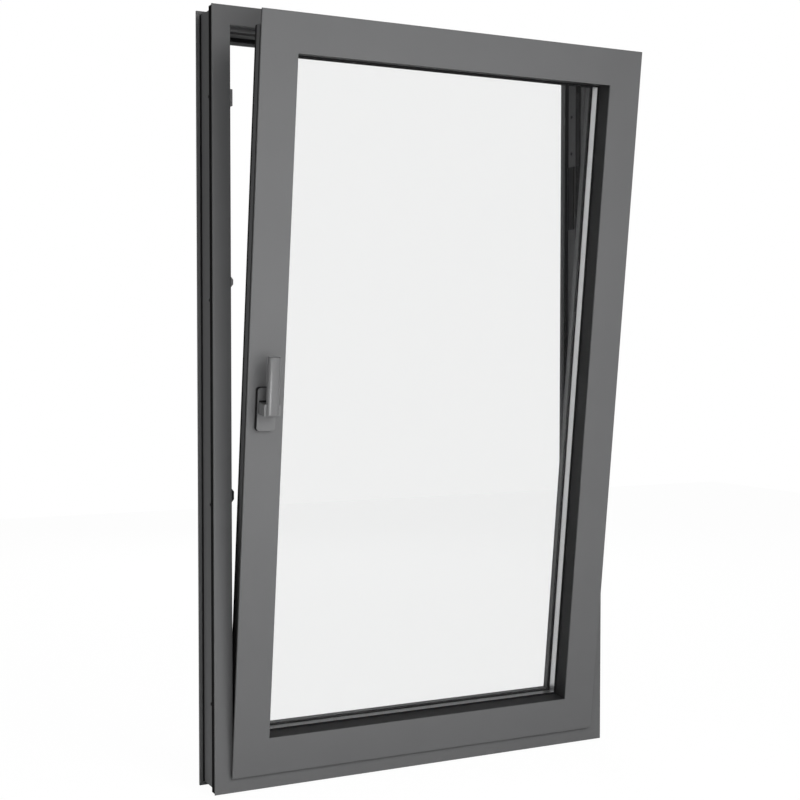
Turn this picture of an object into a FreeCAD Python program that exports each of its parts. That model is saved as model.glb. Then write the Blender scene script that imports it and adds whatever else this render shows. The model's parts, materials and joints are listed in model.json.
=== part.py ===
import FreeCAD, Part
import math
import os
from types import SimpleNamespace

import Sketcher

# Tilt and turn window with one sash, in thermally broken aluminium sections.
# Millimetres. +X towards the hinge side, +Y outdoors, +Z up.
# The origin is the middle of the underside of the frame's weather flange.
# The sash stands tilted in at the top, with the handle up.

Vector = FreeCAD.Vector
Rotation = FreeCAD.Rotation
Placement = FreeCAD.Placement

SIZES = {
    # Fixed frame, overall and across its section
    "frame_width": 785.0,
    "frame_height": 1325.0,
    "frame_depth": 76.0,
    "face_setback": 2.5,
    "face_width": 32.0,
    "front_lip": 2.5,
    "band_recess": 5.0,
    "land_depth": 18.0,
    "room_shell_depth": 24.0,
    "frame_break_depth": 18.0,
    "rebate_step": 6.0,
    "leg_rise": 11.0,
    "leg_thickness": 8.0,
    "flange_thickness": 4.0,
    "flange_plate": 2.0,
    "flange_hook": 5.0,
    "outer_groove_width": 4.0,
    "outer_groove_depth": 7.0,
    "wall": 2.0,
    "edge_radius": 0.8,
    # Thermal break bars, seals and fixing holes of the frame
    "break_bar": 3.0,
    "break_recess": 1.0,
    "seal_width": 17.0,
    "seal_setback": 2.0,
    "centre_gasket_thickness": 2.8,
    "centre_gasket_below_tip": 4.5,
    "fixing_hole": 6.2,
    "fixing_end_distance": 150.0,
    "fixing_inner_distance": 490.0,
    # Sash, overall and across its section
    "sash_inset": 28.0,
    "sash_proud": 10.0,
    "sash_face": 63.8,
    "sash_depth": 80.0,
    "lip_overhang": 18.0,
    "lip_thickness": 3.6,
    "face_plate": 2.5,
    "body_depth": 70.0,
    "outer_step": 9.0,
    "sash_room_shell_depth": 40.0,
    "sash_break_depth": 16.0,
    "hardware_groove_start": 10.0,
    "hardware_groove_width": 16.0,
    "hardware_groove_depth": 16.0,
    # Glazing
    "bead_width": 22.0,
    "bead_depth": 34.0,
    "bead_wall": 1.6,
    "bead_joint": 0.1,
    "bead_setback": 0.5,
    "glazing_gasket": 4.0,
    "gasket_cover": 10.5,
    "gasket_setback": 1.3,
    "pane": 4.0,
    "cavity": 16.0,
    "glass_cover": 14.3,
    "spacer_width": 11.8,
    "spacer_setback": 1.0,
    # Pose and hinge axes
    "tilt_angle": 6.845,
    "tilt_axis_behind_face": 6.0,
    "tilt_axis_over_rebate": 7.0,
    # Handle
    "handle_height": 662.5,
    "handle_from_edge": 30.4,
    "handle_base_width": 32.0,
    "handle_base_length": 71.0,
    "handle_base_thickness": 10.0,
    "handle_base_corner": 5.0,
    "neck_width": 29.0,
    "neck_height": 19.0,
    "neck_length": 27.0,
    "lever_width": 20.0,
    "lever_length": 96.0,
    "lever_below_axis": 7.0,
    "lever_thickness": 9.0,
    "lever_radius": 4.0,
    "collar_diameter": 24.0,
    "collar_height": 3.0,
    "handle_clearance": 0.3,
    # Keepers and locking bar
    "keeper_from_face": 3.0,
    "keeper_width": 13.0,
    "keeper_plate": 1.2,
    "keeper_ear": 3.6,
    "keeper_slope": 4.5,
    "keeper_radius": 1.0,
    "top_keeper_from_top": 154.0,
    "top_keeper_length": 28.0,
    "middle_keeper_over_handle": 202.5,
    "middle_keeper_length": 17.0,
    "low_keeper_under_handle": 155.5,
    "low_keeper_length": 22.0,
    "lock_bar_thickness": 3.0,
    "lock_bar_fit": 0.3,
    "lock_bar_depth": 2.0,
    "lock_bar_end": 110.0,
    "cam_diameter": 9.0,
    "cam_reach": 6.0,
    "cam_offset": 45.0,
    # Hinge jamb plate and bar
    "jamb_bar_from_top": 85.0,
    "jamb_plate_length": 120.0,
    "jamb_plate_thickness": 3.0,
    "jamb_plate_set": 2.0,
    "jamb_plate_gap": 1.2,
    "jamb_plate_rim": 2.5,
    "jamb_bar_width": 9.0,
    "jamb_bar_thickness": 2.5,
    "jamb_bar_length": 137.0,
    "jamb_bar_set": 3.0,
    "jamb_knuckle": 4.0,
    "jamb_block_length": 27.0,
    # Stay arm and its bearing
    "stay_length": 320.0,
    "stay_width": 10.0,
    "stay_thickness": 2.9,
    "stay_headroom": 5.1,
    "stay_pivot_inset": 6.0,
    "stay_pin": 6.0,
    "stay_pin_reach": 19.0,
    "stay_bearing_length": 30.0,
    "running_gap": 0.3,
    # Corner hinge
    "corner_plate_length": 60.0,
    "corner_plate_thickness": 3.2,
    "corner_plate_width": 17.0,
    "link_length": 15.0,
    "link_width": 12.0,
    "link_height": 11.0,
    "cross_pin": 5.0,
    "cross_pin_length": 28.0,
    "shoe_eye": 11.0,
    "shoe_width": 24.0,
    "pin_clearance": 0.05,
}

doc = FreeCAD.newDocument("tilt_and_turn_window")


class Size:
    """A length together with the spreadsheet expression that drives it."""

    def __init__(self, text, value):
        self.text = text
        self.value = value

    def __add__(self, other):
        other = as_size(other)
        return Size(f"({self.text} + {other.text})", self.value + other.value)

    def __sub__(self, other):
        other = as_size(other)
        return Size(f"({self.text} - {other.text})", self.value - other.value)

    def __mul__(self, factor):
        return Size(f"({self.text} * {factor})", self.value * factor)

    def __truediv__(self, divisor):
        return Size(f"({self.text} / {divisor})", self.value / divisor)


def as_size(number):
    """Returns a plain number as a Size."""
    if isinstance(number, Size):
        return number
    return Size(str(float(number)), float(number))


def make_sheet():
    """Writes the driving dimensions to the spreadsheet and returns them by name."""
    sheet = doc.addObject("Spreadsheet::Sheet", "Sizes")
    for row, (name, value) in enumerate(SIZES.items(), start=1):
        sheet.set(f"A{row}", name)
        sheet.set(f"B{row}", str(value))
        sheet.setAlias(f"B{row}", name)
    doc.recompute()
    return SimpleNamespace(**{name: Size(f"Sizes.{name}", value) for name, value in SIZES.items()})


def drive(feature, prop, size):
    """Binds one property of a feature to the sheet."""
    setattr(feature, prop, size.value)
    feature.setExpression(prop, size.text)


d = make_sheet()
ZERO = as_size(0)

# Places across the frame section: rise from the weather flange's edge, depth from the room face
face_edge = d.face_setback + d.face_width
band = d.face_setback + d.band_recess
base_rise = face_edge + d.rebate_step
leg_tip = base_rise + d.leg_rise
weather_start = d.room_shell_depth + d.frame_break_depth
leg_start = d.frame_depth - d.leg_thickness
flange_start = d.frame_depth - d.flange_thickness
groove_start = flange_start - d.outer_groove_width
room_face_y = d.flange_thickness / 2 - d.frame_depth

# Places across the sash section: rise from the lip's edge, depth from the sash face
bead_foot = d.sash_face - d.bead_width
outer_rise = d.lip_overhang + d.outer_step
sash_weather_start = d.sash_room_shell_depth + d.sash_break_depth
groove_end = d.hardware_groove_start + d.hardware_groove_width
groove_floor = d.lip_overhang + d.hardware_groove_depth
inner_pane_front = d.bead_depth + d.glazing_gasket
cavity_front = inner_pane_front + d.pane
outer_pane_front = cavity_front + d.cavity
outer_gasket_front = outer_pane_front + d.pane
outer_leg_front = outer_gasket_front + d.glazing_gasket

# The closed sash in the frame
sash_edge = d.face_setback + d.sash_inset
sash_width = d.frame_width - sash_edge * 2
sash_height = d.frame_height - sash_edge * 2
sash_face_y = room_face_y - d.sash_proud
sash_body = sash_edge + d.lip_overhang
tilt_axis_y = room_face_y + d.tilt_axis_behind_face
tilt_axis_z = face_edge + d.tilt_axis_over_rebate

# Middles of the three keepers, and the joint between the hinge jamb's plate and bar
top_keeper_height = d.frame_height - d.top_keeper_from_top
middle_keeper_height = d.handle_height + d.middle_keeper_over_handle
low_keeper_height = d.handle_height - d.low_keeper_under_handle
jamb_bar_height = d.frame_height - d.jamb_bar_from_top - d.jamb_bar_length

FRAME_POSE = Placement()
TILT_POSE = Placement(
    Vector(0, 0, 0),
    Rotation(Vector(1, 0, 0), d.tilt_angle.value),
    Vector(0, tilt_axis_y.value, tilt_axis_z.value),
)

# The sides of a rectangle in the order in which a bar is turned about Y, a quarter turn each
SIDES = ("left", "top", "right", "bottom")


def at(x, y, z):
    """A placement from three Sizes."""
    return Placement(Vector(as_size(x).value, as_size(y).value, as_size(z).value), Rotation())


def origin_plane(body, role):
    """One of a body's own origin planes."""
    for feature in body.Origin.OriginFeatures:
        if feature.Role == role:
            return feature
    raise ValueError(role)


def new_sketch(body, name, role):
    """An empty sketch on one of the body's origin planes."""
    sketch = body.newObject("Sketcher::SketchObject", name)
    sketch.AttachmentSupport = (origin_plane(body, role), [""])
    sketch.MapMode = "FlatFace"
    return sketch


def draw_outline(sketch, points):
    """Draws a closed outline whose corners are held by the sheet."""
    corners = [(as_size(x), as_size(y)) for x, y in points]
    first = sketch.GeometryCount
    count = len(corners)
    for index, corner in enumerate(corners):
        following = corners[(index + 1) % count]
        start = Vector(corner[0].value, corner[1].value, 0)
        end = Vector(following[0].value, following[1].value, 0)
        sketch.addGeometry(Part.LineSegment(start, end))
    for index in range(count):
        following = first + (index + 1) % count
        sketch.addConstraint(Sketcher.Constraint("Coincident", first + index, 2, following, 1))
    for index, corner in enumerate(corners):
        for kind, size in zip(("DistanceX", "DistanceY"), corner):
            held = sketch.addConstraint(Sketcher.Constraint(kind, -1, 1, first + index, 1, size.value))
            sketch.setExpression(f"Constraints[{held}]", size.text)


def draw_circle(sketch, x, y, diameter):
    """Draws a circle whose centre and diameter are held by the sheet."""
    x, y, diameter = as_size(x), as_size(y), as_size(diameter)
    centre = Vector(x.value, y.value, 0)
    circle = sketch.addGeometry(Part.Circle(centre, Vector(0, 0, 1), diameter.value / 2))
    for kind, size in (("DistanceX", x), ("DistanceY", y)):
        held = sketch.addConstraint(Sketcher.Constraint(kind, -1, 1, circle, 3, size.value))
        sketch.setExpression(f"Constraints[{held}]", size.text)
    held = sketch.addConstraint(Sketcher.Constraint("Diameter", circle, diameter.value))
    sketch.setExpression(f"Constraints[{held}]", diameter.text)


def box_outline(x0, y0, x1, y1):
    """The four corners of a rectangle."""
    return [(x0, y0), (x1, y0), (x1, y1), (x0, y1)]


def pad(body, name, sketch, length):
    """Pads a sketch by a Size."""
    feature = body.newObject("PartDesign::Pad", name)
    feature.Profile = sketch
    drive(feature, "Length", length)
    return feature


def edges_along(shape, fixed):
    """Names of the straight edges whose ends all lie at the fixed coordinates."""
    names = []
    for number, edge in enumerate(shape.Edges, start=1):
        ends = [vertex.Point for vertex in edge.Vertexes]
        if len(ends) == 2 and all(
            abs(getattr(point, axis) - value) < 1e-4 for point in ends for axis, value in fixed.items()
        ):
            names.append(f"Edge{number}")
    return names


def fillet(body, name, base, places, radius):
    """Rounds the edges found at the given places."""
    doc.recompute()
    names = []
    for fixed in places:
        names += edges_along(base.Shape, fixed)
    feature = body.newObject("PartDesign::Fillet", name)
    feature.Base = (base, names)
    drive(feature, "Radius", radius)
    return feature


def mitred_bar(name, outline, hollows, length, reach, rounded, radius):
    """An extruded section cut at 45 degrees at both ends; X is the rise, Y the depth, Z the length."""
    body = doc.addObject("PartDesign::Body", name)
    section = new_sketch(body, f"{name}_section", "XY_Plane")
    draw_outline(section, outline)
    for hollow in hollows:
        draw_outline(section, hollow)
    bar = pad(body, f"{name}_bar", section, length)
    doc.recompute()
    full_volume = bar.Shape.Volume
    mitres = new_sketch(body, f"{name}_mitres", "XZ_Plane")
    draw_outline(mitres, [(0, 0), (reach, 0), (reach, reach)])
    draw_outline(mitres, [(0, length), (reach, length), (reach, length - reach)])
    cut = body.newObject("PartDesign::Pocket", f"{name}_cut")
    cut.Profile = mitres
    cut.Type = "ThroughAll"
    cut.SideType = "Symmetric"
    doc.recompute()
    if not cut.Shape.Volume < full_volume:
        raise ValueError(f"{name} has no mitres")
    if rounded:
        places = [{"x": as_size(x).value, "y": as_size(y).value} for x, y in rounded]
        fillet(body, f"{name}_edges", cut, places, radius)
    return body


def four_sides(names, outline, hollows, width, height, reach, low_z, front_y, pose, rounded=(), radius=None):
    """Four mitred bars of one section round a rectangle."""
    for quarter, side in enumerate(SIDES):
        length = width if side in ("top", "bottom") else height
        bar = mitred_bar(names[side], outline, hollows, length, reach, rounded, radius)
        start_x = width / 2 if side in ("right", "bottom") else ZERO - width / 2
        start_z = low_z + height if side in ("top", "right") else low_z
        turn = Rotation(Vector(0, 1, 0), 90 * quarter)
        bar.Placement = pose * at(start_x, front_y, start_z) * Placement(Vector(), turn)


def ring(name, width, height, inset, rise, front, depth, low_z, pose, front_y):
    """A rectangular ring of plain section, inset from a width by height rectangle."""
    outer = doc.addObject("Part::Box", f"{name}_outside")
    inner = doc.addObject("Part::Box", f"{name}_opening")
    for block, margin in ((outer, inset), (inner, inset + rise)):
        drive(block, "Length", width - margin * 2)
        drive(block, "Width", depth)
        drive(block, "Height", height - margin * 2)
    inner.Placement = at(rise, 0, rise)
    whole = doc.addObject("Part::Cut", name)
    whole.Base = outer
    whole.Tool = inner
    whole.Placement = pose * at(inset - width / 2, front_y + front, low_z + inset)
    return whole


def drilled(name, base, holes, diameter, length):
    """Cuts round holes along X through a solid; holes are lists of three Sizes at each start."""
    drills = []
    for number, (x, y, z) in enumerate(holes):
        drill = doc.addObject("Part::Cylinder", f"{name}_drill_{number}")
        drive(drill, "Radius", diameter / 2)
        drive(drill, "Height", length)
        drill.Placement = at(x, y, z) * Placement(Vector(0, 0, 0), Rotation(Vector(0, 1, 0), 90))
        drills.append(drill)
    group = doc.addObject("Part::MultiFuse", f"{name}_drills")
    group.Shapes = drills
    cut = doc.addObject("Part::Cut", name)
    cut.Base = base
    cut.Tool = group
    return cut


def make_frame_bars():
    """Room-side and weather-side shells of the fixed frame."""
    room_outline = [
        (d.face_setback, 0),
        (face_edge, 0),
        (face_edge, d.land_depth),
        (base_rise, d.land_depth),
        (base_rise, d.room_shell_depth),
        (band, d.room_shell_depth),
        (band, d.front_lip),
        (d.face_setback, d.front_lip),
    ]
    room_hollow = box_outline(
        band + d.wall, d.wall, face_edge - d.wall, d.room_shell_depth - d.wall
    )
    names = {
        "left": "frame_lock_jamb_room_shell",
        "top": "frame_head_room_shell",
        "right": "frame_hinge_jamb_room_shell",
        "bottom": "frame_sill_room_shell",
    }
    reach = leg_tip + d.wall
    four_sides(names, room_outline, [room_hollow], d.frame_width, d.frame_height, reach, ZERO,
               room_face_y, FRAME_POSE, [(d.face_setback, 0), (face_edge, 0)], d.edge_radius)

    groove_bottom = band + d.outer_groove_depth
    weather_outline = [
        (0, flange_start),
        (0, d.frame_depth),
        (leg_tip, d.frame_depth),
        (leg_tip, leg_start),
        (base_rise, leg_start),
        (base_rise, weather_start),
        (band, weather_start),
        (band, groove_start),
        (groove_bottom, groove_start),
        (groove_bottom, d.frame_depth - d.flange_plate),
        (d.flange_hook, d.frame_depth - d.flange_plate),
        (d.flange_hook, flange_start),
    ]
    base_hollow = box_outline(
        groove_bottom + d.wall, weather_start + d.wall, base_rise - d.wall, leg_start - d.wall
    )
    leg_hollow = box_outline(
        groove_bottom + d.wall, leg_start + d.wall, leg_tip - d.wall, d.frame_depth - d.wall
    )
    names = {
        "left": "frame_lock_jamb_weather_shell",
        "top": "frame_head_weather_shell",
        "right": "frame_hinge_jamb_weather_shell",
        "bottom": "frame_sill_weather_shell",
    }
    four_sides(names, weather_outline, [base_hollow, leg_hollow], d.frame_width, d.frame_height, reach,
               ZERO, room_face_y, FRAME_POSE, [(leg_tip, d.frame_depth)], d.edge_radius)


def make_frame_rings():
    """Break bars with the fixing holes, the perimeter seal and the centre gasket."""
    hole_y = room_face_y + d.room_shell_depth + d.frame_break_depth / 2
    bars = {
        "frame_outer_break_bar": band,
        "frame_inner_break_bar": base_rise - d.break_recess - d.break_bar,
    }
    for name, inset in bars.items():
        solid = ring(f"{name}_ring", d.frame_width, d.frame_height, inset, d.break_bar,
                     d.room_shell_depth, d.frame_break_depth, ZERO, FRAME_POSE, room_face_y)
        heights = [
            d.fixing_end_distance,
            d.fixing_inner_distance,
            d.frame_height - d.fixing_inner_distance,
            d.frame_height - d.fixing_end_distance,
        ]
        starts = [inset - d.frame_width / 2, d.frame_width / 2 - inset - d.break_bar]
        holes = [(x, hole_y, z) for x in starts for z in heights]
        drilled(name, solid, holes, d.fixing_hole, d.break_bar)
    seal_inset = d.face_setback + d.seal_setback
    ring("frame_perimeter_seal", d.frame_width, d.frame_height, seal_inset, band - seal_inset,
         d.front_lip, d.seal_width, ZERO, FRAME_POSE, room_face_y)
    gasket_rise = leg_tip - d.centre_gasket_below_tip - base_rise
    ring("frame_centre_gasket", d.frame_width, d.frame_height, base_rise, gasket_rise,
         leg_start - d.centre_gasket_thickness, d.centre_gasket_thickness, ZERO, FRAME_POSE, room_face_y)


def make_sash_bars():
    """Room-side shells, weather-side shells and glazing beads of the sash."""
    shell_edge = bead_foot - d.bead_joint
    room_outline = [
        (0, 0),
        (d.sash_face, 0),
        (d.sash_face, d.face_plate),
        (shell_edge, d.face_plate),
        (shell_edge, d.sash_room_shell_depth),
        (d.lip_overhang, d.sash_room_shell_depth),
        (d.lip_overhang, groove_end),
        (groove_floor, groove_end),
        (groove_floor, d.hardware_groove_start),
        (d.lip_overhang, d.hardware_groove_start),
        (d.lip_overhang, d.lip_thickness),
        (0, d.lip_thickness),
    ]
    room_hollow = box_outline(
        d.lip_overhang + d.wall, d.wall, shell_edge - d.wall, d.hardware_groove_start - d.wall
    )
    names = {
        "left": "sash_lock_stile_room_shell",
        "top": "sash_top_rail_room_shell",
        "right": "sash_hinge_stile_room_shell",
        "bottom": "sash_bottom_rail_room_shell",
    }
    reach = d.sash_face + d.wall
    four_sides(names, room_outline, [room_hollow], sash_width, sash_height, reach, sash_edge,
               sash_face_y, TILT_POSE, [(0, 0), (d.sash_face, 0)], d.edge_radius)

    weather_outline = [
        (d.lip_overhang, sash_weather_start),
        (d.lip_overhang, d.body_depth),
        (outer_rise, d.body_depth),
        (outer_rise, d.sash_depth),
        (d.sash_face, d.sash_depth),
        (d.sash_face, outer_leg_front),
        (bead_foot, outer_leg_front),
        (bead_foot, sash_weather_start),
    ]
    leg_hollow = box_outline(
        outer_rise + d.wall, outer_leg_front + d.wall, d.sash_face - d.wall, d.sash_depth - d.wall
    )
    heel_hollow = box_outline(
        d.lip_overhang + d.wall, sash_weather_start + d.wall, bead_foot - d.wall, outer_leg_front - d.wall
    )
    names = {
        "left": "sash_lock_stile_weather_shell",
        "top": "sash_top_rail_weather_shell",
        "right": "sash_hinge_stile_weather_shell",
        "bottom": "sash_bottom_rail_weather_shell",
    }
    four_sides(names, weather_outline, [leg_hollow, heel_hollow], sash_width, sash_height, reach, sash_edge,
               sash_face_y, TILT_POSE, [(d.sash_face, d.sash_depth)], d.edge_radius)

    bead_front = d.face_plate + d.bead_joint
    bead_edge = d.sash_face - d.bead_setback
    bead_outline = box_outline(bead_foot, bead_front, bead_edge, d.bead_depth)
    bead_hollow = box_outline(
        bead_foot + d.bead_wall, bead_front + d.bead_wall, bead_edge - d.bead_wall, d.bead_depth - d.bead_wall
    )
    names = {
        "left": "glazing_bead_lock_side",
        "top": "glazing_bead_top",
        "right": "glazing_bead_hinge_side",
        "bottom": "glazing_bead_bottom",
    }
    four_sides(names, bead_outline, [bead_hollow], sash_width, sash_height, reach, sash_edge,
               sash_face_y, TILT_POSE)


def make_sash_rings():
    """Break bars, glazing gaskets and the spacer of the sash."""
    gasket_inset = d.sash_face - d.gasket_setback - d.gasket_cover
    spacer_inset = d.sash_face - d.spacer_setback - d.spacer_width
    inner_bar = bead_foot - d.bead_joint - d.break_recess - d.break_bar
    rings = {
        "sash_outer_break_bar": (d.lip_overhang + d.break_recess, d.break_bar,
                                 d.sash_room_shell_depth, d.sash_break_depth),
        "sash_inner_break_bar": (inner_bar, d.break_bar, d.sash_room_shell_depth, d.sash_break_depth),
        "inner_glazing_gasket": (gasket_inset, d.gasket_cover, d.bead_depth, d.glazing_gasket),
        "outer_glazing_gasket": (gasket_inset, d.gasket_cover, outer_gasket_front, d.glazing_gasket),
        "spacer_bar": (spacer_inset, d.spacer_width, cavity_front, d.cavity),
    }
    for name, (inset, rise, front, depth) in rings.items():
        ring(name, sash_width, sash_height, inset, rise, front, depth, sash_edge, TILT_POSE, sash_face_y)


def make_panes():
    """The two panes of the insulating glass."""
    inset = d.sash_face - d.glass_cover
    for name, front in (("inner_pane", inner_pane_front), ("outer_pane", outer_pane_front)):
        glass = doc.addObject("Part::Box", name)
        drive(glass, "Length", sash_width - inset * 2)
        drive(glass, "Width", d.pane)
        drive(glass, "Height", sash_height - inset * 2)
        glass.Placement = TILT_POSE * at(inset - sash_width / 2, sash_face_y + front, sash_edge + inset)


def make_keepers():
    """Lock keepers on the rebate of the lock jamb: a plain block at the top, sloped humps below."""
    keepers = {
        "top_lock_keeper": (top_keeper_height, d.top_keeper_length, d.keeper_plate + d.keeper_ear, ZERO),
        "middle_lock_keeper": (middle_keeper_height, d.middle_keeper_length, d.keeper_plate, d.keeper_slope),
        "low_lock_keeper": (low_keeper_height, d.low_keeper_length, d.keeper_plate, d.keeper_slope),
    }
    tip = d.keeper_plate + d.keeper_ear
    for name, (height, length, foot, slope) in keepers.items():
        shoulders = [] if slope is ZERO else [(foot, length), (foot, 0)]
        body = doc.addObject("PartDesign::Body", name)
        profile = new_sketch(body, f"{name}_profile", "XZ_Plane")
        draw_outline(profile, [
            (0, 0),
            *shoulders[1:],
            (tip, slope),
            (tip, length - slope),
            *shoulders[:1],
            (0, length),
        ])
        plate = pad(body, f"{name}_plate", profile, d.keeper_width)
        plate.Reversed = True
        ends = [{"x": tip.value, "z": slope.value}, {"x": tip.value, "z": (length - slope).value}]
        fillet(body, f"{name}_ends", plate, ends, d.keeper_radius)
        body.Placement = at(face_edge - d.frame_width / 2, room_face_y + d.keeper_from_face,
                            height - length / 2)


def make_locking_bar():
    """The locking bar in the lock stile's hardware groove, with a round cam for each keeper."""
    length = sash_height - d.lock_bar_end * 2
    fit = d.lock_bar_fit
    body = doc.addObject("PartDesign::Body", "locking_bar")
    strip = new_sketch(body, "locking_bar_strip", "YZ_Plane")
    draw_outline(strip, box_outline(0, 0, d.hardware_groove_width - fit * 2, length))
    bar = pad(body, "locking_bar_flat", strip, d.lock_bar_thickness)
    start_z = sash_edge + d.lock_bar_end
    cams = new_sketch(body, "locking_bar_cams", "YZ_Plane")
    for height in (top_keeper_height, middle_keeper_height, low_keeper_height):
        draw_circle(cams, d.hardware_groove_width / 2 - fit, height - d.cam_offset - start_z, d.cam_diameter)
    studs = pad(body, "locking_bar_studs", cams, d.cam_reach)
    studs.Reversed = True
    body.Placement = TILT_POSE * at(
        sash_body + d.lock_bar_depth - d.frame_width / 2,
        sash_face_y + d.hardware_groove_start + fit,
        start_z,
    )
    return bar


def make_hinge_jamb_hardware():
    """The plate with a raised rim on the weather base, and the bar with its end block above it."""
    edge_x = d.frame_width / 2
    base_width = leg_start - d.centre_gasket_thickness - weather_start
    plate_width = base_width - d.jamb_plate_set - d.jamb_plate_gap
    body = doc.addObject("PartDesign::Body", "hinge_jamb_plate")
    profile = new_sketch(body, "hinge_jamb_plate_section", "XY_Plane")
    draw_outline(profile, [
        (0, 0),
        (d.jamb_plate_thickness, 0),
        (d.jamb_plate_thickness, d.jamb_plate_rim),
        (d.jamb_plate_thickness / 2, d.jamb_plate_rim),
        (d.jamb_plate_thickness / 2, plate_width - d.jamb_plate_rim),
        (d.jamb_plate_thickness, plate_width - d.jamb_plate_rim),
        (d.jamb_plate_thickness, plate_width),
        (0, plate_width),
    ])
    pad(body, "hinge_jamb_plate_strip", profile, d.jamb_plate_length)
    turn = Placement(Vector(), Rotation(Vector(0, 1, 0), 180))
    plate_y = room_face_y + weather_start + d.jamb_plate_set
    body.Placement = at(edge_x - base_rise, plate_y, jamb_bar_height) * turn

    seat = base_rise - d.break_recess
    body = doc.addObject("PartDesign::Body", "hinge_jamb_bar")
    profile = new_sketch(body, "hinge_jamb_bar_profile", "XZ_Plane")
    block_start = d.jamb_bar_length - d.jamb_block_length
    draw_outline(profile, [
        (0, 0),
        (d.jamb_knuckle, 0),
        (d.jamb_knuckle, d.jamb_knuckle),
        (d.jamb_bar_thickness, d.jamb_knuckle * 2),
        (d.jamb_bar_thickness, block_start),
        (d.jamb_knuckle, block_start),
        (d.jamb_knuckle, d.jamb_bar_length),
        (0, d.jamb_bar_length),
    ])
    strip = pad(body, "hinge_jamb_bar_strip", profile, d.jamb_bar_width)
    strip.Reversed = True
    strip_y = room_face_y + d.room_shell_depth + d.jamb_bar_set
    turn = Placement(Vector(), Rotation(Vector(0, 0, 1), 180))
    body.Placement = at(edge_x - seat, strip_y + d.jamb_bar_width, jamb_bar_height) * turn


def stay_swing():
    """The angle of the stay arm away from the closed position that meets the tilted top rail."""
    groove_y = sash_face_y + d.hardware_groove_start + d.hardware_groove_width / 2
    closed = Vector(0, groove_y.value, (d.frame_height - sash_body).value)
    opened = TILT_POSE.multVec(closed)
    return math.degrees(math.asin((closed.y - opened.y) / d.stay_length.value))


def make_stay():
    """The stay arm in the top rebate, its sliding pin, and the bearing under the head."""
    groove_y = sash_face_y + d.hardware_groove_start + d.hardware_groove_width / 2
    arm_top = d.frame_height - face_edge - d.stay_headroom
    pivot_x = d.frame_width / 2 - sash_body - d.stay_pivot_inset
    half = d.stay_width / 2
    body = doc.addObject("PartDesign::Body", "stay_arm")
    outline = new_sketch(body, "stay_arm_outline", "XY_Plane")
    draw_outline(outline, box_outline(0, 0, d.stay_length + d.stay_width, d.stay_width))
    arm = pad(body, "stay_arm_flat", outline, d.stay_thickness)
    ends = [{"x": x, "y": y} for x in (0.0, (d.stay_length + d.stay_width).value)
            for y in (0.0, d.stay_width.value)]
    rounded = fillet(body, "stay_arm_ends", arm, ends, half - d.running_gap)
    body.Tip = rounded
    slider = new_sketch(body, "stay_arm_slider", "XY_Plane")
    draw_circle(slider, half, half, d.stay_pin)
    pin = pad(body, "stay_arm_pin", slider, d.stay_pin_reach)
    pin.Reversed = True
    swing = Rotation(Vector(0, 0, 1), stay_swing())
    pivot = Vector(pivot_x.value, groove_y.value, (arm_top - d.stay_thickness).value)
    to_pivot = Placement(Vector(-(d.stay_length + half).value, -half.value, 0), Rotation())
    body.Placement = Placement(pivot, swing) * to_pivot

    block = doc.addObject("Part::Box", "stay_bearing")
    drive(block, "Length", d.stay_bearing_length)
    drive(block, "Width", d.stay_width)
    drive(block, "Height", d.stay_headroom - d.running_gap)
    block.Placement = at(pivot_x - d.stay_bearing_length / 2, groove_y - half, arm_top + d.running_gap)


def make_corner_hinge():
    """Corner plate on the hinge jamb, the link with its cross pin, and the shoe in the bottom rail's groove."""
    jamb_x = d.frame_width / 2 - face_edge
    plate = doc.addObject("Part::Box", "corner_hinge_plate")
    drive(plate, "Length", d.corner_plate_thickness)
    drive(plate, "Width", d.corner_plate_width)
    drive(plate, "Height", d.corner_plate_length)
    link_y = tilt_axis_y - d.link_width / 2
    plate.Placement = at(jamb_x - d.corner_plate_thickness, link_y, face_edge)

    link_end = jamb_x - d.corner_plate_thickness - d.running_gap
    axis_up = d.tilt_axis_over_rebate - d.running_gap
    body = doc.addObject("PartDesign::Body", "corner_hinge_link")
    side = new_sketch(body, "corner_hinge_link_side", "YZ_Plane")
    draw_outline(side, box_outline(0, 0, d.link_width, d.link_height))
    block = pad(body, "corner_hinge_link_block", side, d.link_length)
    tops = [{"y": y, "z": d.link_height.value} for y in (0.0, d.link_width.value)]
    rounded = fillet(body, "corner_hinge_link_top", block, tops, d.cross_pin / 2)
    body.Tip = rounded
    round_pin = new_sketch(body, "corner_hinge_link_pin", "YZ_Plane")
    draw_circle(round_pin, d.link_width / 2, axis_up, d.cross_pin)
    pin = pad(body, "corner_hinge_cross_pin", round_pin, d.cross_pin_length)
    pin.Reversed = True
    body.Placement = at(link_end - d.link_length, link_y, face_edge + d.running_gap)

    eye_x = link_end - d.link_length - d.running_gap - d.shoe_width
    rise = sash_body + d.hardware_groove_depth - tilt_axis_z
    half_eye = d.shoe_eye / 2
    body = doc.addObject("PartDesign::Body", "corner_hinge_shoe")
    side = new_sketch(body, "corner_hinge_shoe_side", "YZ_Plane")
    draw_outline(side, box_outline(0, 0, d.shoe_eye, half_eye + rise))
    draw_circle(side, half_eye, half_eye, d.cross_pin + d.pin_clearance * 2)
    block = pad(body, "corner_hinge_shoe_block", side, d.shoe_width)
    lows = [{"y": y, "z": 0.0} for y in (0.0, d.shoe_eye.value)]
    fillet(body, "corner_hinge_shoe_foot", block, lows, d.cross_pin / 2)
    body.Placement = TILT_POSE * at(eye_x, tilt_axis_y - half_eye, tilt_axis_z - half_eye)


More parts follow.
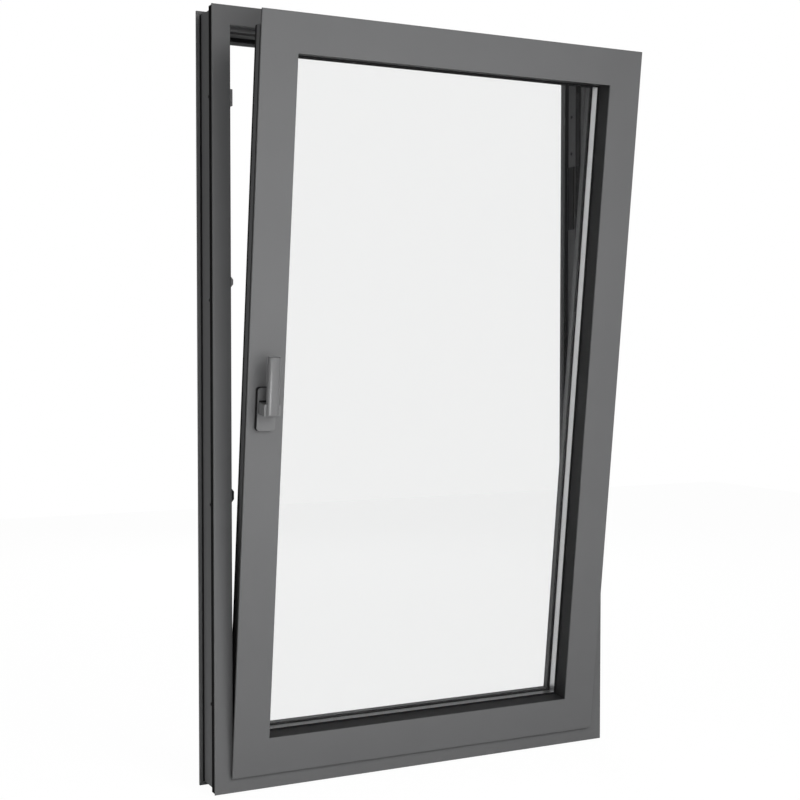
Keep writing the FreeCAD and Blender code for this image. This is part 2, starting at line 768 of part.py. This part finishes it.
def make_handle():
    """The base on the lock stile and the lever that turns on it, pointing up."""
    centre_x = sash_edge + d.handle_from_edge - d.frame_width / 2
    centre_z = d.handle_height
    half_width = d.handle_base_width / 2
    half_length = d.handle_base_length / 2
    body = doc.addObject("PartDesign::Body", "handle_base")
    front = new_sketch(body, "handle_base_front", "XZ_Plane")
    draw_outline(front, box_outline(0, 0, d.handle_base_width, d.handle_base_length))
    plate = pad(body, "handle_base_plate", front, d.handle_base_thickness)
    corners = [{"x": x, "z": z} for x in (0.0, d.handle_base_width.value)
               for z in (0.0, d.handle_base_length.value)]
    rounded = fillet(body, "handle_base_corners", plate, corners, d.handle_base_corner)
    body.Tip = rounded
    boss = new_sketch(body, "handle_base_boss", "XZ_Plane")
    draw_circle(boss, half_width, half_length, d.collar_diameter)
    pad(body, "handle_base_collar", boss, d.handle_base_thickness + d.collar_height)
    body.Placement = TILT_POSE * at(centre_x - half_width, sash_face_y, centre_z - half_length)

    half_lever = d.lever_width / 2
    half_neck = d.neck_width / 2
    body = doc.addObject("PartDesign::Body", "handle_lever")
    root = new_sketch(body, "handle_lever_root", "XZ_Plane")
    draw_outline(root, box_outline(half_lever - half_neck, 0, half_lever + half_neck, d.neck_height))
    pad(body, "handle_lever_neck", root, d.neck_length - d.lever_thickness / 2)
    blade = new_sketch(body, "handle_lever_blade", "XZ_Plane")
    blade.AttachmentOffset = Placement(Vector(0, 0, (d.neck_length - d.lever_thickness).value), Rotation())
    blade.setExpression("AttachmentOffset.Base.z", (d.neck_length - d.lever_thickness).text)
    draw_outline(blade, box_outline(0, 0, d.lever_width, d.lever_length))
    bar = pad(body, "handle_lever_bar", blade, d.lever_thickness)
    front_y = -d.neck_length.value
    edges = [{"x": x, "y": front_y} for x in (0.0, d.lever_width.value)]
    edges += [{"z": z, "y": front_y} for z in (0.0, d.lever_length.value)]
    fillet(body, "handle_lever_edges", bar, edges, d.lever_radius)
    stand_off = d.handle_base_thickness + d.collar_height + d.handle_clearance
    body.Placement = TILT_POSE * at(centre_x - half_lever, sash_face_y - stand_off, centre_z - d.lever_below_axis)


def write_parts(names):
    """Checks every feature and shape, then writes one file for each sub-part."""
    doc.recompute()
    for feature in doc.Objects:
        if "Invalid" in feature.State or "Error" in feature.State:
            raise ValueError(f"{feature.Name} failed: {feature.State}")
    for name in names:
        shape = doc.getObject(name).Shape
        if shape.isNull() or not shape.isValid() or not shape.Solids:
            raise ValueError(f"{name} has no valid solid")
    os.makedirs("parts", exist_ok=True)
    for name in names:
        doc.getObject(name).Label = name
        doc.getObject(name).Shape.exportStep(f"parts/{name}.step")


def sub_parts():
    """Names of the finished pieces: bodies, and solids that no other feature uses."""
    names = []
    for feature in doc.Objects:
        is_body = feature.TypeId == "PartDesign::Body"
        is_solid = feature.TypeId in ("Part::Box", "Part::Cut") and not feature.InList
        if is_body or is_solid:
            names.append(feature.Name)
    return names


make_frame_bars()
make_frame_rings()
make_sash_bars()
make_sash_rings()
make_panes()
make_keepers()
make_locking_bar()
make_hinge_jamb_hardware()
make_stay()
make_corner_hinge()
make_handle()
write_parts(sub_parts())
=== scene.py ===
import json
import math

import bpy
from mathutils import Matrix, Vector


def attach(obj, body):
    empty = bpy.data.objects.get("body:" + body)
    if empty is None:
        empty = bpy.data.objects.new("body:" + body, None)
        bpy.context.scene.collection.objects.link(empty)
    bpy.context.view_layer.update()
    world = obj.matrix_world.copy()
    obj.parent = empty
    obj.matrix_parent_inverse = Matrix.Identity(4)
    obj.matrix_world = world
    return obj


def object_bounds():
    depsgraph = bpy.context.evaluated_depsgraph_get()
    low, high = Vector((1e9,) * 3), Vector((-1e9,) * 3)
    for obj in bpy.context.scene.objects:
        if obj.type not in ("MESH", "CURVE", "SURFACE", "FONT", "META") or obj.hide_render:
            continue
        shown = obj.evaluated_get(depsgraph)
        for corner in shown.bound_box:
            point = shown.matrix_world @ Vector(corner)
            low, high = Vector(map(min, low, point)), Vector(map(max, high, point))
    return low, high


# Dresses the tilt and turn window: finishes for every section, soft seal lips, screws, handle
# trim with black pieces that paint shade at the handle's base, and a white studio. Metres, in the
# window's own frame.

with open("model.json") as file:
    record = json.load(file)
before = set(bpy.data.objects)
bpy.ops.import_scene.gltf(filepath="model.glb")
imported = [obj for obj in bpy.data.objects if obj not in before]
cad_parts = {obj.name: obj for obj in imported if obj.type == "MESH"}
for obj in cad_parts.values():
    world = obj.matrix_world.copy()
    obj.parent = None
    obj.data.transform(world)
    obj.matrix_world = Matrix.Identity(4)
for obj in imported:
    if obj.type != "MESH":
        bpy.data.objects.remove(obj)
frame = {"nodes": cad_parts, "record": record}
cad_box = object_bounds()
nodes = frame["nodes"]

MM = 0.001


# The pose of the sash: tilted in at the top about its bottom hinge

TILT_AXIS = Vector((0, -68.0, 41.5)) * MM
TILT_ANGLE = math.radians(6.845)
TILTED = (
    Matrix.Translation(TILT_AXIS)
    @ Matrix.Rotation(TILT_ANGLE, 4, "X")
    @ Matrix.Translation(-TILT_AXIS)
)
UPRIGHT = Matrix.Identity(4)


# Finishes

GLASS_IOR = 1.48
RUBBER_SHINE = 0.15


def new_finish(name):
    """An empty material with a Principled shader, its node tree and a Texture Coordinate node."""
    material = bpy.data.materials.new(name)
    material.use_nodes = True
    tree = material.node_tree
    shader = tree.nodes["Principled BSDF"]
    places = tree.nodes.new("ShaderNodeTexCoord")
    return material, tree, shader, places


def noise(tree, places, scale, detail, roughness=0.5):
    """A noise texture over the piece's own coordinates."""
    texture = tree.nodes.new("ShaderNodeTexNoise")
    texture.inputs["Scale"].default_value = scale
    texture.inputs["Detail"].default_value = detail
    texture.inputs["Roughness"].default_value = roughness
    tree.links.new(places.outputs["Object"], texture.inputs["Vector"])
    return texture


def ramp(tree, source, low, high, start=0, end=1):
    """Runs from low to high while the source runs from start to end."""
    remap = tree.nodes.new("ShaderNodeMapRange")
    for name, value in (("From Min", start), ("From Max", end), ("To Min", low), ("To Max", high)):
        remap.inputs[name].default_value = value
    tree.links.new(source, remap.inputs["Value"])
    return remap.outputs["Result"]


def tint_between(tree, factor, dark, light):
    """A colour that runs between two shades with a texture."""
    mix = tree.nodes.new("ShaderNodeMix")
    mix.data_type = "RGBA"
    mix.inputs["A"].default_value = (*dark, 1)
    mix.inputs["B"].default_value = (*light, 1)
    tree.links.new(factor, mix.inputs["Factor"])
    return mix.outputs["Result"]


def raise_grain(tree, shader, height, strength, depth):
    """Bump from a texture's height."""
    bump = tree.nodes.new("ShaderNodeBump")
    bump.inputs["Strength"].default_value = strength
    bump.inputs["Distance"].default_value = depth
    tree.links.new(height, bump.inputs["Height"])
    tree.links.new(bump.outputs["Normal"], shader.inputs["Normal"])


def powder_coat(name, dark, light, roughness, shine=0.3):
    """Satin powder coat: a fine orange-peel skin with a slow drift in shade and gloss."""
    material, tree, shader, places = new_finish(name)
    peel = noise(tree, places, scale=1500, detail=2)
    drift = noise(tree, places, scale=9, detail=3)
    shade = tint_between(tree, drift.outputs["Fac"], dark, light)
    tree.links.new(shade, shader.inputs["Base Color"])
    gloss = ramp(tree, drift.outputs["Fac"], *roughness)
    tree.links.new(gloss, shader.inputs["Roughness"])
    shader.inputs["Specular IOR Level"].default_value = shine
    raise_grain(tree, shader, peel.outputs["Fac"], strength=0.12, depth=0.05 * MM)
    return material


def soft_black(name, dark, light, roughness, grain_scale):
    """Matt black rubber or polyamide with a fine moulded grain."""
    material, tree, shader, places = new_finish(name)
    grain = noise(tree, places, scale=grain_scale, detail=4)
    shade = tint_between(tree, grain.outputs["Fac"], dark, light)
    tree.links.new(shade, shader.inputs["Base Color"])
    gloss = ramp(tree, grain.outputs["Fac"], *roughness)
    tree.links.new(gloss, shader.inputs["Roughness"])
    shader.inputs["Specular IOR Level"].default_value = RUBBER_SHINE
    raise_grain(tree, shader, grain.outputs["Fac"], strength=0.2, depth=0.08 * MM)
    return material


def rolled_metal(name, dark, light, roughness, stretch, metallic):
    """Plated or mill metal with fine rolling lines along its length."""
    material, tree, shader, places = new_finish(name)
    turn = tree.nodes.new("ShaderNodeMapping")
    turn.inputs["Scale"].default_value = stretch
    tree.links.new(places.outputs["Object"], turn.inputs["Vector"])
    lines = noise(tree, places, scale=1, detail=5, roughness=0.6)
    tree.links.new(turn.outputs["Vector"], lines.inputs["Vector"])
    blotch = noise(tree, places, scale=60, detail=3)
    shade = tint_between(tree, blotch.outputs["Fac"], dark, light)
    tree.links.new(shade, shader.inputs["Base Color"])
    gloss = ramp(tree, lines.outputs["Fac"], *roughness)
    tree.links.new(gloss, shader.inputs["Roughness"])
    shader.inputs["Metallic"].default_value = metallic
    raise_grain(tree, shader, lines.outputs["Fac"], strength=0.08, depth=0.015 * MM)
    return material


def clear_glass(name, tint, waviness):
    """Float glass that lets lamps through, with the faintest roller wave."""
    material, tree, shader, places = new_finish(name)
    shader.inputs["Base Color"].default_value = (*tint, 1)
    shader.inputs["Roughness"].default_value = 0
    shader.inputs["IOR"].default_value = GLASS_IOR
    shader.inputs["Transmission Weight"].default_value = 1
    wave = noise(tree, places, scale=4, detail=1)
    raise_grain(tree, shader, wave.outputs["Fac"], strength=0.02, depth=waviness)
    rays = tree.nodes.new("ShaderNodeLightPath")
    open_way = tree.nodes.new("ShaderNodeBsdfTransparent")
    open_way.inputs["Color"].default_value = (*tint, 1)
    either = tree.nodes.new("ShaderNodeMixShader")
    tree.links.new(rays.outputs["Is Shadow Ray"], either.inputs["Fac"])
    tree.links.new(shader.outputs["BSDF"], either.inputs[1])
    tree.links.new(open_way.outputs["BSDF"], either.inputs[2])
    tree.links.new(either.outputs["Shader"], tree.nodes["Material Output"].inputs["Surface"])
    return material


COAT = powder_coat(
    "section_powder_coat", (0.118, 0.119, 0.121), (0.134, 0.135, 0.137), roughness=(0.46, 0.58)
)
HANDLE_COAT = powder_coat(
    "handle_powder_coat", (0.125, 0.126, 0.128), (0.142, 0.143, 0.145),
    roughness=(0.26, 0.34), shine=0.7,
)
SEAL = soft_black(
    "seal_rubber", (0.007, 0.007, 0.0075), (0.016, 0.016, 0.0165),
    roughness=(0.55, 0.75), grain_scale=700,
)
BREAK = soft_black(
    "break_polyamide", (0.012, 0.012, 0.0125), (0.026, 0.026, 0.0265),
    roughness=(0.5, 0.65), grain_scale=1100,
)
STEEL = rolled_metal(
    "plated_steel", (0.36, 0.36, 0.365), (0.5, 0.5, 0.505),
    roughness=(0.28, 0.45), stretch=(90, 90, 900), metallic=0.45,
)
SPACER = rolled_metal(
    "spacer_aluminium", (0.76, 0.765, 0.77), (0.82, 0.825, 0.83),
    roughness=(0.3, 0.4), stretch=(60, 600, 60), metallic=1,
)
# Glazing beads: a near-black coat, painted shade for the reveals round the glass that face away
# from the lamps.
BEAD_PAINTED_SHADE = powder_coat(
    "bead_painted_shade_coat", (0.019, 0.019, 0.0195), (0.027, 0.027, 0.0275), roughness=(0.5, 0.62)
)
DARK_METAL = powder_coat(
    "hinge_black_coat", (0.02, 0.02, 0.021), (0.032, 0.032, 0.033), roughness=(0.4, 0.55)
)
GLASS = clear_glass("float_glass", (0.998, 1.0, 0.999), waviness=0.02 * MM)

FINISHES = {
    "coat": COAT,
    "handle": HANDLE_COAT,
    "seal": SEAL,
    "thermal_break": BREAK,
    "hardware": STEEL,
    "dark_hardware": DARK_METAL,
    "bead": BEAD_PAINTED_SHADE,
    "spacer": SPACER,
    "glass": GLASS,
}


def dress(piece, finish):
    """Gives a piece one finish."""
    piece.data.materials.clear()
    piece.data.materials.append(finish)


for part in frame["record"]["subparts"]:
    dress(nodes[part["node"]], FINISHES[part["material_slot"]])


# Soft seals, screws, handle trim and painted shade at the handle's base, each modelled once
# in the window's millimetres

HALF_FRAME = 392.5
FRAME_TOP = 1325.0
ROOM_FACE = -74.0
SASH_EDGE = 30.5
SASH_FACE = -84.0
BODY = "root"
SHARP_EDGE = math.radians(60)
SOFT_EDGE = math.radians(40)


def edit_new(add_shape, **options):
    """Adds a starting shape alone in the selection and opens it for editing."""
    bpy.ops.object.select_all(action="DESELECT")
    add_shape(**options)
    bpy.ops.object.mode_set(mode="EDIT")
    bpy.ops.mesh.select_all(action="SELECT")
    return bpy.context.active_object


def upright_panel(width, height, centre):
    """Opens a flat upright panel that faces the room, for editing."""
    piece = edit_new(bpy.ops.mesh.primitive_plane_add, size=1, rotation=(math.pi / 2, 0, 0))
    bpy.ops.object.mode_set(mode="OBJECT")
    bpy.ops.object.transform_apply(rotation=True)
    bpy.ops.object.mode_set(mode="EDIT")
    bpy.ops.transform.resize(value=(width, 1, height))
    bpy.ops.transform.translate(value=centre)
    return piece


def round_sharp_edges(radius, steps):
    """Rounds every sharp edge of the open piece."""
    bpy.ops.mesh.select_mode(type="EDGE")
    bpy.ops.mesh.select_all(action="DESELECT")
    bpy.ops.mesh.edges_select_sharp(sharpness=SHARP_EDGE)
    bpy.ops.mesh.bevel(offset=radius, segments=steps, profile=0.5)
    bpy.ops.mesh.select_mode(type="FACE")


def extrude(x, y, z):
    """Extrudes the selected faces of the open piece."""
    bpy.ops.mesh.extrude_region_move(TRANSFORM_OT_translate={"value": (x, y, z)})


def close_piece(piece, name):
    """Turns the normals outwards, leaves edit mode and shades the soft edges."""
    bpy.ops.mesh.select_all(action="SELECT")
    bpy.ops.mesh.normals_make_consistent(inside=False)
    bpy.ops.object.mode_set(mode="OBJECT")
    bpy.ops.object.shade_smooth_by_angle(angle=SOFT_EDGE)
    piece.name = name


def settle(piece, finish, pose):
    """Scales a piece from millimetres, puts it in place and joins it to the window."""
    bpy.ops.object.select_all(action="DESELECT")
    piece.select_set(True)
    bpy.context.view_layer.objects.active = piece
    piece.matrix_world = pose @ Matrix.Scale(MM, 4) @ piece.matrix_world
    bpy.ops.object.transform_apply(location=True, rotation=True, scale=True)
    dress(piece, finish)
    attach(piece, BODY)


def strip_round(name, inset, band, front, depth, radius, on_sash):
    """A rubber strip right round the frame or the sash, behind its room face."""
    edge = SASH_EDGE if on_sash else 0.0
    width = 2 * (HALF_FRAME - edge - inset)
    height = FRAME_TOP - 2 * (edge + inset)
    start_y = front + (SASH_FACE if on_sash else ROOM_FACE)
    piece = upright_panel(width, height, (0, start_y, FRAME_TOP / 2))
    bpy.ops.mesh.inset(thickness=band)
    bpy.ops.mesh.delete(type="FACE")
    bpy.ops.mesh.select_all(action="SELECT")
    extrude(0, depth, 0)
    bpy.ops.mesh.select_all(action="SELECT")
    bpy.ops.mesh.normals_make_consistent(inside=False)
    round_sharp_edges(radius, steps=3)
    close_piece(piece, name)
    settle(piece, SEAL, TILTED if on_sash else UPRIGHT)


# Name, inset from the outer edge, band, start behind the room face, depth, radius of the edges
SASH_STRIPS = (
    ("sash_lip_seal", 1.2, 3.0, 3.65, 5.6, 1.2),
    ("sash_stop_seal", 18.1, 3.3, 70.05, 7.4, 0.7),
    ("inner_gasket_lip", 62.55, 3.0, 34.1, 3.85, 1.3),
    ("outer_gasket_lip", 62.55, 3.0, 62.05, 3.85, 1.3),
)
RIB_STARTS = (4.2, 8.4, 12.6, 16.8)
FRAME_STRIPS = (("outer_groove_seal", 6.2, 8.0, 72.3, 1.6, 0.5),) + tuple(
    (f"perimeter_seal_rib_{number}", 3.3, 1.15, start, 1.6, 0.5)
    for number, start in enumerate(RIB_STARTS)
)
for strip in SASH_STRIPS:
    strip_round(*strip, on_sash=True)
for strip in FRAME_STRIPS:
    strip_round(*strip, on_sash=False)


# Screws: heads with a driver recess, standing on +X. Each step of the dome has its share of the
# height and how far it narrows.

HEAD_WALL = 0.55
HEAD_DOME = ((0.3, 0.88), (0.15, 0.82))
RECESS_RIM = 0.3
RECESS_DEPTH = 0.7
RECESS_TAPER = 0.85


def screw_head(name, diameter, height):
    """A low domed head with a round driver recess, its parts as shares of its size."""
    rim = diameter / 2
    piece = edit_new(bpy.ops.mesh.primitive_circle_add, vertices=24, radius=rim, fill_type="NGON")
    extrude(0, 0, height * HEAD_WALL)
    for share, narrower in HEAD_DOME:
        extrude(0, 0, height * share)
        bpy.ops.transform.resize(value=(narrower, narrower, 1))
    bpy.ops.mesh.inset(thickness=rim * RECESS_RIM)
    extrude(0, 0, -height * RECESS_DEPTH)
    bpy.ops.transform.resize(value=(RECESS_TAPER, RECESS_TAPER, 1))
    close_piece(piece, name)
    piece.rotation_euler = (0, math.pi / 2, 0)
    bpy.ops.object.transform_apply(rotation=True)
    return piece


def set_screws(name, diameter, height, finish, places):
    """Copies one screw head to every place: its foot, the side it faces and its pose."""
    pattern = screw_head(name, diameter, height)
    for number, (foot, faces, pose) in enumerate(places):
        bpy.ops.object.select_all(action="DESELECT")
        pattern.select_set(True)
        bpy.context.view_layer.objects.active = pattern
        bpy.ops.object.duplicate()
        copy = bpy.context.active_object
        copy.name = f"{name}_{number}"
        turn = Matrix.Rotation(0 if faces > 0 else math.pi, 4, "Z")
        copy.matrix_world = Matrix.Translation(foot) @ turn
        settle(copy, finish, pose)
    bpy.data.objects.remove(pattern)


SCREW_HEIGHT = 0.9
KEEPER_TOP_X = 39.3 - HALF_FRAME
KEEPER_MIDDLE_Y = ROOM_FACE + 9.5
PLATE_FACE_X = HALF_FRAME - 42.0
PLATE_MIDDLE_Y = ROOM_FACE + 53.0
CORNER_FACE_X = HALF_FRAME - 37.7
CORNER_MIDDLE_Y = ROOM_FACE + 8.5
LOCK_BAR_FACE_X = SASH_EDGE + 20.0 - HALF_FRAME
LOCK_BAR_MIDDLE_Y = SASH_FACE + 18.0

keeper_screws = [((KEEPER_TOP_X, KEEPER_MIDDLE_Y, z), 1, UPRIGHT) for z in (1163.0, 1179.0)]
plate_screws = [((PLATE_FACE_X, PLATE_MIDDLE_Y, z), -1, UPRIGHT) for z in (1128.0, 1198.0)]
corner_screws = [((CORNER_FACE_X, CORNER_MIDDLE_Y, z), -1, UPRIGHT) for z in (64.5, 82.5)]
bar_screws = [
    ((LOCK_BAR_FACE_X, LOCK_BAR_MIDDLE_Y, z), -1, TILTED)
    for z in (190.0, 400.0, 760.0, 980.0, 1080.0)
]
set_screws("keeper_screw", 6.4, SCREW_HEIGHT, STEEL, keeper_screws)
set_screws("plate_screw", 6.0, SCREW_HEIGHT, DARK_METAL, plate_screws)
set_screws("hardware_screw", 5.6, SCREW_HEIGHT, STEEL, corner_screws + bar_screws)


# Handle trim on the lock stile; the skirt and the bar over the neck are painted shade

HANDLE_X = SASH_EDGE + 30.4 - HALF_FRAME
HANDLE_Z = 662.5
# A black ring hugging the sides of the handle base is painted shade where those sides turn away
# from the light.
SHADE_SKIRT_WIDTH = 32.9
SHADE_SKIRT_LENGTH = 71.9
SHADE_SKIRT_CORNER = 5.4
SHADE_SKIRT_WALL = 0.42
SHADE_SKIRT_DEPTH = 8.2
SHADE_SKIRT_GAP = 0.05
# A black bar over the lever's neck paints the shadow in the gap between the neck and the base.
NECK_SHADOW_SIZE = (13.5, 0.5, 2.4)
NECK_SHADOW_PLACE = (HANDLE_X - 7.0, SASH_FACE - 10.3, HANDLE_Z + 13.6)
NECK_SHADOW_ROUNDING = 0.2
LEVER_FRONT = SASH_FACE - 40.3
LEVER_ROUNDING = 4.0
LEVER_MIDDLE_Z = HANDLE_Z + 41.0
CROWN_HALF_WIDTH = 10.3
CROWN_RISE = 6.0
CROWN_LENGTH = 96.4
CROWN_END_RADIUS = 2.4
NEAR = 0.01


def handle_shade_skirt():
    """A thin black ring round the sides of the base against the stile: painted shade on those
    sides.
    """
    centre = (HANDLE_X, SASH_FACE - SHADE_SKIRT_GAP, HANDLE_Z)
    piece = upright_panel(SHADE_SKIRT_WIDTH, SHADE_SKIRT_LENGTH, centre)
    bpy.ops.mesh.bevel(offset=SHADE_SKIRT_CORNER, segments=8, affect="VERTICES")
    bpy.ops.mesh.select_all(action="SELECT")
    bpy.ops.mesh.inset(thickness=SHADE_SKIRT_WALL)
    bpy.ops.mesh.delete(type="FACE")
    bpy.ops.mesh.select_all(action="SELECT")
    extrude(0, -SHADE_SKIRT_DEPTH, 0)
    close_piece(piece, "handle_base_painted_shade")
    settle(piece, SEAL, TILTED)


def neck_shadow_bar():
    """A narrow black bar in the base over the lever's neck: a painted shadow in the gap above the
    neck.
    """
    piece = edit_new(bpy.ops.mesh.primitive_cube_add, size=1)
    bpy.ops.transform.resize(value=NECK_SHADOW_SIZE)
    bpy.ops.transform.translate(value=NECK_SHADOW_PLACE)
    round_sharp_edges(NECK_SHADOW_ROUNDING, steps=2)
    close_piece(piece, "handle_neck_painted_shadow")
    settle(piece, SEAL, TILTED)


def select_end_rims(piece):
    """Selects the bowed edges at both ends of the lever's crown, while it lies round the origin."""
    bpy.ops.mesh.select_mode(type="EDGE")
    bpy.ops.mesh.select_all(action="DESELECT")
    bpy.ops.object.mode_set(mode="OBJECT")
    points = piece.data.vertices
    for edge in piece.data.edges:
        first, second = (points[number].co for number in edge.vertices)
        level = abs(first.z - second.z) < NEAR
        edge.select = level and min(first.y, second.y) < -NEAR
    bpy.ops.object.mode_set(mode="EDIT")


def lever_crown():
    """The bowed front of the lever, oval in section and rounded at its ends."""
    piece = edit_new(bpy.ops.mesh.primitive_cylinder_add, vertices=96, radius=1, depth=CROWN_LENGTH)
    bpy.ops.transform.resize(value=(CROWN_HALF_WIDTH, CROWN_RISE, 1))
    bpy.ops.mesh.bisect(plane_co=(0, 0, 0), plane_no=(0, 1, 0), use_fill=True, clear_outer=True)
    select_end_rims(piece)
    bpy.ops.mesh.bevel(offset=CROWN_END_RADIUS, segments=5, profile=0.5)
    bpy.ops.mesh.select_mode(type="FACE")
    bpy.ops.mesh.select_all(action="SELECT")
    foot = LEVER_FRONT + LEVER_ROUNDING
    bpy.ops.transform.translate(value=(HANDLE_X, foot, LEVER_MIDDLE_Z))
    close_piece(piece, "handle_lever_crown")
    settle(piece, HANDLE_COAT, TILTED)


handle_shade_skirt()
neck_shadow_bar()
lever_crown()


# Studio: white to look at, with soft lamps in front, on the left and behind

WHITE = (1, 1, 1, 1)
FLOOR_SPAN = 8.0
FLOOR_SHADE = 0.8
FLOOR_ROUGHNESS = (0.85, 0.95)
SEEN_WHITE = 0.94
SEEN_GLOW = 1.03
SURROUND_LIGHT = 0.28
GLOSS_LIGHT = 0.2
BACKDROP_LIGHT = 0.7
ROOM_LIGHT = 0.06
BACKDROP_TOP = 0.25
CEILING_FOOT = 0.45
CEILING_SHARE = 0.2
OUTDOOR_BLEND = 0.1
NO_BOUNCE = 0.5
WINDOW_MIDDLE = (0, 0, 0.66)


def sums(tree, operation, first, second):
    """One Math node between two values, either of them a number."""
    node = tree.nodes.new("ShaderNodeMath")
    node.operation = operation
    for socket, value in zip(node.inputs, (first, second)):
        if isinstance(value, (int, float)):
            socket.default_value = value
        else:
            tree.links.new(value, socket)
    return node.outputs["Value"]


def between(tree, factor, first, second):
    """A value that goes from the first to the second with the factor."""
    node = tree.nodes.new("ShaderNodeMix")
    tree.links.new(factor, node.inputs["Factor"])
    for name, value in (("A", first), ("B", second)):
        if isinstance(value, (int, float)):
            node.inputs[name].default_value = value
        else:
            tree.links.new(value, node.inputs[name])
    return node.outputs["Result"]


def ray_kinds(tree):
    """Shares for what is seen straight or through the panes, what they mirror, and gloss."""
    rays = tree.nodes.new("ShaderNodeLightPath").outputs
    mirrored_before = sums(tree, "GREATER_THAN", rays["Glossy Depth"], NO_BOUNCE)
    turns = sums(tree, "ADD", rays["Glossy Depth"], rays["Diffuse Depth"])
    came_straight = sums(tree, "LESS_THAN", turns, NO_BOUNCE)
    through = sums(tree, "MULTIPLY", rays["Is Transmission Ray"], came_straight)
    seen = sums(tree, "MAXIMUM", rays["Is Camera Ray"], through)
    sharp = sums(tree, "MAXIMUM", rays["Is Singular Ray"], rays["Is Transmission Ray"])
    mirrored = sums(tree, "MULTIPLY", sharp, mirrored_before)
    return seen, mirrored, rays["Is Glossy Ray"]


def heading(tree, places, output):
    """The parts of a direction, or of a place on the floor."""
    parts = tree.nodes.new("ShaderNodeSeparateXYZ")
    tree.links.new(places.outputs[output], parts.inputs["Vector"])
    return parts.outputs


def white_surroundings():
    """White to look at; what the panes mirror is bright outdoors and dim in the room."""
    world = bpy.data.worlds.new("studio")
    bpy.context.scene.world = world
    world.use_nodes = True
    tree = world.node_tree
    light = tree.nodes["Background"]
    light.inputs["Color"].default_value = WHITE
    seen, mirrored, glossy = ray_kinds(tree)
    way = heading(tree, tree.nodes.new("ShaderNodeTexCoord"), "Generated")
    under_ceiling = ramp(tree, way["Z"], 1, CEILING_SHARE, BACKDROP_TOP, CEILING_FOOT)
    outdoors = ramp(tree, way["Y"], ROOM_LIGHT, BACKDROP_LIGHT, -OUTDOOR_BLEND, OUTDOOR_BLEND)
    gloss = sums(tree, "MULTIPLY", under_ceiling, GLOSS_LIGHT)
    strength = between(tree, glossy, SURROUND_LIGHT, gloss)
    strength = between(tree, mirrored, strength, sums(tree, "MULTIPLY", under_ceiling, outdoors))
    strength = between(tree, seen, strength, 1)
    tree.links.new(strength, light.inputs["Strength"])


def white_floor():
    """A pale floor under the weather flange that keeps the window's shadow."""
    bpy.ops.object.select_all(action="DESELECT")
    bpy.ops.mesh.primitive_plane_add(size=FLOOR_SPAN, location=(0, 0, cad_box[0][2]))
    floor = bpy.context.active_object
    floor.name = "studio_floor"
    material, tree, shader, places = new_finish("studio_floor_white")
    paper = noise(tree, places, scale=300, detail=3)
    gloss = ramp(tree, paper.outputs["Fac"], *FLOOR_ROUGHNESS)
    tree.links.new(gloss, shader.inputs["Roughness"])
    shader.inputs["Base Color"].default_value = (FLOOR_SHADE, FLOOR_SHADE, FLOOR_SHADE, 1)
    shader.inputs["Specular IOR Level"].default_value = 0
    seen, mirrored, _ = ray_kinds(tree)
    glow = tree.nodes.new("ShaderNodeEmission")
    spot = heading(tree, places, "Object")
    outdoors = ramp(tree, spot["Y"], ROOM_LIGHT, BACKDROP_LIGHT, -OUTDOOR_BLEND, OUTDOOR_BLEND)
    tree.links.new(between(tree, mirrored, SEEN_GLOW, outdoors), glow.inputs["Strength"])
    share = sums(tree, "MAXIMUM", sums(tree, "MULTIPLY", seen, SEEN_WHITE), mirrored)
    blend = tree.nodes.new("ShaderNodeMixShader")
    tree.links.new(share, blend.inputs["Fac"])
    tree.links.new(shader.outputs["BSDF"], blend.inputs[1])
    tree.links.new(glow.outputs["Emission"], blend.inputs[2])
    tree.links.new(blend.outputs["Shader"], tree.nodes["Material Output"].inputs["Surface"])
    dress(floor, material)


def soft_lamp(name, place, target, span, power, glints=False, glow=True):
    """A square lamp facing a point. It shows in gloss if it glints and lights if it glows."""
    data = bpy.data.lights.new(name, "AREA")
    data.size = span
    data.energy = power
    lamp = bpy.data.objects.new(name, data)
    bpy.context.scene.collection.objects.link(lamp)
    lamp.location = place
    lamp.rotation_euler = (Vector(target) - Vector(place)).to_track_quat("-Z", "Y").to_euler()
    lamp.visible_camera = False
    lamp.visible_diffuse = glow
    lamp.visible_glossy = glints
    lamp.visible_transmission = False


white_surroundings()
white_floor()
# Lamps: place, target, then width in metres and power in watts
soft_lamp("front_right_lamp", (1.5, -3.2, 1.0), WINDOW_MIDDLE, span=2.4, power=22)
soft_lamp("high_front_lamp", (0.6, -3.2, 2.3), WINDOW_MIDDLE, span=1.4, power=30, glints=True)
soft_lamp("near_left_lamp", (-0.28, -1.25, 0.72), (-0.3, 0, 0.7), span=0.8, power=9)
soft_lamp("left_fill_lamp", (-2.2, -0.2, 0.25), (-0.39, -0.05, 0.35), span=0.8, power=6.5)
soft_lamp(
    "low_left_lamp", (-1.0, -1.35, 0.28), (-0.33, -0.16, 0.66),
    span=0.4, power=5, glints=True, glow=False,
)
soft_lamp("back_lamp", (1.0, 2.6, 1.6), WINDOW_MIDDLE, span=1.4, power=25)


# Camera at the photograph's standpoint

EYE = (-1.1510, -2.2847, 0.7529)
LOOK_YAW = math.radians(26.627)
LOOK_PITCH = math.radians(2.090)
LOOK_ROLL = math.radians(0.028)
LENS_MM = 62.724
SENSOR_MM = 36.0


def place_camera():
    """A camera turned towards the hinge side and looking slightly down."""
    data = bpy.data.cameras.new("photo_camera")
    data.sensor_fit = "HORIZONTAL"
    data.sensor_width = SENSOR_MM
    data.lens = LENS_MM
    camera = bpy.data.objects.new("photo_camera", data)
    bpy.context.scene.collection.objects.link(camera)
    level = math.pi / 2
    turned = Matrix.Rotation(-LOOK_YAW, 4, "Z") @ Matrix.Rotation(level - LOOK_PITCH, 4, "X")
    camera.matrix_world = Matrix.Translation(EYE) @ turned @ Matrix.Rotation(LOOK_ROLL, 4, "Z")
    bpy.context.scene.camera = camera


place_camera()
bpy.context.scene.view_settings.view_transform = "Standard"
